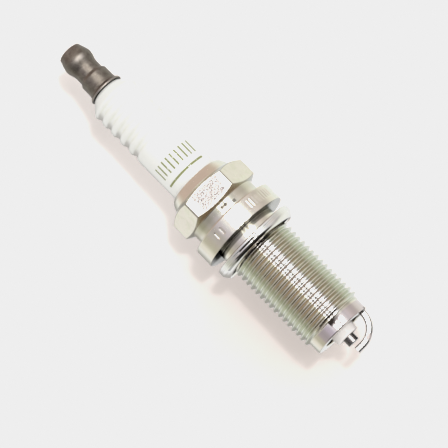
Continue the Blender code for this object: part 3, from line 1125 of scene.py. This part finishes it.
# the camera's back axis leans towards the firing end
BACK = Vector((0.0, -math.cos(TILT), -math.sin(TILT)))
DOWN = Vector((0.0, 0.0, -1.0))
ALONG = (DOWN - BACK * DOWN.dot(BACK)).normalized()         # towards the firing end in the view
SIDE = BACK.cross(ALONG)                                    # 90 degrees anticlockwise from it
CAMERA_PLACE = AIM - SIDE * OFF_SIDE + BACK * DISTANCE


def add_camera():
    data = bpy.data.cameras.new("camera")
    data.sensor_width = 36.0
    data.lens = LENS
    data.clip_start = 0.02
    data.clip_end = 5.0
    camera = bpy.data.objects.new("camera", data)
    bpy.context.scene.collection.objects.link(camera)
    right = ALONG * math.cos(ROLL) + SIDE * math.sin(ROLL)
    rotation = Matrix((right, BACK.cross(right), BACK)).transposed().to_4x4()
    camera.matrix_world = Matrix.Translation(CAMERA_PLACE) @ rotation
    bpy.context.scene.camera = camera


add_camera()


# ---------------------------------------------------------------------------
# floor
# ---------------------------------------------------------------------------
FLOOR_WHITE = (0.140, 0.1265, 0.119)
FLOOR_GAP = 0.0094                # from the plug's axis to the floor: the flange rests on it
FLOOR_HALF = 0.6
FLOOR_SLOPE = 0.03                # it falls away a little towards the firing end


def floor_material():
    """A plain floor that only shows from the main camera's place, so no other view has a wall."""
    material = bpy.data.materials.new("floor_look")
    material.use_nodes = True
    tree = Tree(material.node_tree)
    tree.tree.nodes.clear()
    position, incoming, backfacing = tree.values(
        "NewGeometry", ("Position", "Incoming", "Backfacing"))
    height = tree.value("SeparateXYZ", {0: position}, "Z")
    # painted shadow: the floor is painted lighter and bluer towards the terminal end and a little
    # dimmer past it, which sets the cast shadow's depth along the plug
    low, high = (SEAT - 12.0) * MM, (SEAT + 22.0) * MM
    past_end = height.span((SEAT + 32.0) * MM, (SEAT + 40.0) * MM, to_low=1.0, to_high=0.94)
    shade = height.span(low, high, to_low=0.935, to_high=1.09) * past_end
    green = shade * height.span(low, high, to_low=1.0, to_high=1.025)
    blue = shade * height.span(low, high, to_low=1.0, to_high=1.04)
    colour = tree.mix(1.0, FLOOR_WHITE, tree.vector(shade, green, blue), "MULTIPLY")
    # the place that the ray started from, compared with the camera's
    ray = tree.value("LightPath", output="Ray Length")
    reach = tree.value("VectorMath", {0: incoming, "Scale": ray}, operation="SCALE")
    start = tree.value("VectorMath", {0: position, 1: reach}, operation="ADD")
    away = tree.value(
        "VectorMath", {0: start, 1: tuple(CAMERA_PLACE)}, "Value", operation="DISTANCE")
    shown = away.fall(0.02, 0.04) * (1.0 - backfacing)
    clear = tree.value("BsdfTransparent")
    diffuse = tree.value("BsdfDiffuse", {"Color": colour})
    tree.node("OutputMaterial", {0: tree.value("MixShader", {0: shown, 1: clear, 2: diffuse})})
    return material


def add_floor():
    mesh = bpy.data.meshes.new("floor")
    right = Vector((math.cos(ROLL), 0, -math.sin(ROLL)))
    up = Vector((math.sin(ROLL), 0, math.cos(ROLL)))
    centre = Vector((0.0, FLOOR_GAP, AIM.z))
    corners = []
    for across, along in ((-1, -1), (1, -1), (1, 1), (-1, 1)):
        corner = centre + right * across * FLOOR_HALF + up * along * FLOOR_HALF
        corner.y += FLOOR_SLOPE * (centre.z - corner.z)
        corners.append(tuple(corner))
    mesh.from_pydata(corners, [], [(0, 1, 2, 3)])
    mesh.materials.append(floor_material())
    floor = bpy.data.objects.new("floor", mesh)
    bpy.context.scene.collection.objects.link(floor)
    floor.visible_glossy = False
    floor.visible_diffuse = False
    floor.visible_transmission = False
    floor.visible_shadow = False
    return floor


def only_for(name, piece):
    """A collection that holds one piece, for a lamp to shine on."""
    collection = bpy.data.collections.new(name)
    collection.objects.link(piece)
    return collection


floor_only = only_for("floor_only", add_floor())


# ---------------------------------------------------------------------------
# lamps
# ---------------------------------------------------------------------------
def sun(name, toward, strength, spread, only=None, shadow=True, mirrored=False):
    """A distant lamp, spread degrees wide, which may shine on one collection only."""
    data = bpy.data.lights.new(name, "SUN")
    data.energy = strength
    data.angle = math.radians(spread)
    data.use_shadow = shadow
    lamp = bpy.data.objects.new(name, data)
    bpy.context.scene.collection.objects.link(lamp)
    lamp.location = AIM + toward * 0.3
    lamp.rotation_mode = "QUATERNION"
    lamp.rotation_quaternion = toward.to_track_quat("Z", "Y")
    lamp.visible_camera = False
    lamp.visible_glossy = mirrored
    if only:
        lamp.light_linking.receiver_collection = only


def from_room(round_axis, to_end):
    """The direction of a place in the room, in degrees as in the ROOM table."""
    turn, rise = math.radians(round_axis), math.radians(to_end)
    flat = BACK * math.cos(turn) + SIDE * math.sin(turn)
    return flat * math.cos(rise) + ALONG * math.sin(rise)


def towards(to_strap_side, to_terminal):
    """A direction from the plug to a lamp above the floor it lies on."""
    return Vector((to_strap_side, -1.0, to_terminal)).normalized()


KEY = towards(to_strap_side=0.36, to_terminal=-0.03)
SOFT = towards(to_strap_side=0.75, to_terminal=-0.03)
OVERHEAD = towards(to_strap_side=0.0, to_terminal=0.0)
FLOOR_LIGHT = 22.4                # all the lamps together, on the floor
FLOOR_LAMPS = (   # name, direction, share of the light, spread in degrees, shadow
    ("floor_key", KEY, 0.16, 6.0, True),
    ("floor_soft", SOFT, 0.25, 60.0, True),
    ("floor_fill", OVERHEAD, 0.59, 5.0, False),
)
sun("key", KEY, strength=1.0, spread=5.0)
for lamp_name, toward, share, spread, shadow in FLOOR_LAMPS:
    sun(lamp_name, toward, FLOOR_LIGHT * share / -toward.y, spread, floor_only, shadow)

# a lamp that puts a highlight on the dark centre electrode
sun("electrode_glint", from_room(round_axis=22.0, to_end=-19.0), strength=5.0, spread=44.0,
    only=only_for("electrode_only", electrode), mirrored=True)


# ---------------------------------------------------------------------------
# world
# ---------------------------------------------------------------------------
# The room that the metal mirrors: angle and colour. The angle goes round the plug's axis
# from the camera's side (0) towards the strap's side (+). A second angle, to_end, goes
# from the terminal end (-90) to the firing end (+90).
ROOM = (
    (-180, (0.86, 0.87, 0.90)),
    (-176, (0.80, 0.80, 0.82)),
    (-171, (0.42, 0.40, 0.38)),
    (-150, (0.50, 0.49, 0.48)),
    (-138, (0.82, 0.82, 0.83)),
    (-131, (0.96, 0.97, 1.00)),
    (-111, (0.90, 0.92, 0.88)),
    (-96, (0.584, 0.593, 0.515)),
    (-83, (0.55, 0.543, 0.495)),
    (-71, (0.55, 0.536, 0.546)),
    (-59, (0.50, 0.49, 0.505)),
    (-49, (0.54, 0.53, 0.56)),
    (-39, (0.66, 0.64, 0.73)),
    (-29, (0.70, 0.69, 0.79)),
    (-22, (0.90, 0.93, 1.02)),
    (-18, (1.05, 1.07, 1.14)),
    (-9, (0.80, 0.80, 0.82)),
    (-3, (0.25, 0.25, 0.25)),
    (3, (0.25, 0.25, 0.25)),
    (10, (0.45, 0.45, 0.45)),
    (17, (0.45, 0.45, 0.45)),
    (35, (1.08, 1.10, 1.12)),
    (41, (1.08, 1.10, 1.12)),
    (47, (0.78, 0.79, 0.82)),
    (59, (0.84, 0.81, 0.825)),
    (71, (0.737, 0.703, 0.69)),
    (83, (0.643, 0.616, 0.608)),
    (96, (0.666, 0.655, 0.623)),
    (111, (0.88, 0.90, 0.84)),
    (131, (0.96, 0.98, 0.94)),
    (180, (0.86, 0.87, 0.90)),
)
STRIPS = ((18.0, 34.0), (2.5, 10.5), (-9.5, -3.5))      # bright strips: from, to
STRIP_RADIANCE = 5.0


def room_glow(tree):
    """The room's colour in every direction."""
    direction = tree.value("TexCoord", output="Generated")

    def part(axis):
        inputs = {0: direction, 1: tuple(axis)}
        return tree.value("VectorMath", inputs, "Value", operation="DOT_PRODUCT")

    round_axis = part(SIDE).math("ARCTAN2", part(BACK)) * DEGREES
    to_end = part(ALONG).math("ARCSINE") * DEGREES
    stops = [((angle + 180) / 360.0, colour) for angle, colour in ROOM]
    room = round_axis.scaled(1 / 360.0, 0.5).ramp(*stops)
    strips = [round_axis.window(*ends, ease=2.0) * STRIP_RADIANCE for ends in STRIPS]
    lit = reduce(Value.__add__, strips) * to_end.window(-38.0, 5.0, ease=8.0, ease_out=6.0)
    glow = tree.mix(1.0, room, tree.vector(lit, lit * 0.985, lit * 0.97), "ADD")
    # the room is dimmer just past the strips, towards the firing end
    past_strips = to_end.window(8.0, 50.0, ease=8.0, ease_out=12.0)
    dim = 1.0 - past_strips * round_axis.window(-95.0, 95.0, ease=10.0) * 0.18
    glow = glow.tinted(tree.vector(dim, dim, dim))
    # the terminal end of the room is brown
    outside = 1.0 - round_axis.window(-11.0, 42.0, ease=4.0)
    brown = (to_end.fall(-48.0, -26.0) * outside).larger(to_end.fall(-50.0, -38.0))
    glow = glow.cover(brown, (0.66, 0.555, 0.51))
    # the firing end has a dark wall with a leaning edge
    lean = round_axis.larger(0.0) * 0.5 + round_axis.math("MINIMUM", 0.0) * 0.08
    wall = (to_end - lean).rise(6.0, 14.0) * round_axis.window(-68.0, 84.0, ease=12.0, ease_out=14.0)
    return glow.cover(wall, (0.045, 0.040, 0.036))


def add_world():
    """The room for reflections, and one plain colour each for diffuse and camera rays."""
    world = bpy.data.worlds.new("studio")
    world.use_nodes = True
    world.cycles.sampling_method = "NONE"
    tree = Tree(world.node_tree)
    tree.tree.nodes.clear()
    diffuse_ray, camera_ray = tree.values("LightPath", ("Is Diffuse Ray", "Is Camera Ray"))
    colour = room_glow(tree).cover(diffuse_ray, (0.80, 0.795, 0.77))
    colour = colour.cover(camera_ray, (1.12, 1.02, 0.965))
    light = tree.value("Background", {"Color": colour, "Strength": 1.0})
    tree.node("OutputWorld", {"Surface": light})
    bpy.context.scene.world = world


WHITE_LIMIT = 0.855               # the brightest value the view lets through


def limit_white():
    view = bpy.context.scene.view_settings
    view.view_transform = "Standard"
    view.look = "None"
    view.use_curve_mapping = True
    mapping = view.curve_mapping
    mapping.extend = "HORIZONTAL"
    points = mapping.curves[3].points
    points[0].location = (0.0, 0.0)
    points[1].location = (WHITE_LIMIT, WHITE_LIMIT)
    for point in points:
        point.handle_type = "VECTOR"
    mapping.update()


add_world()
limit_white()
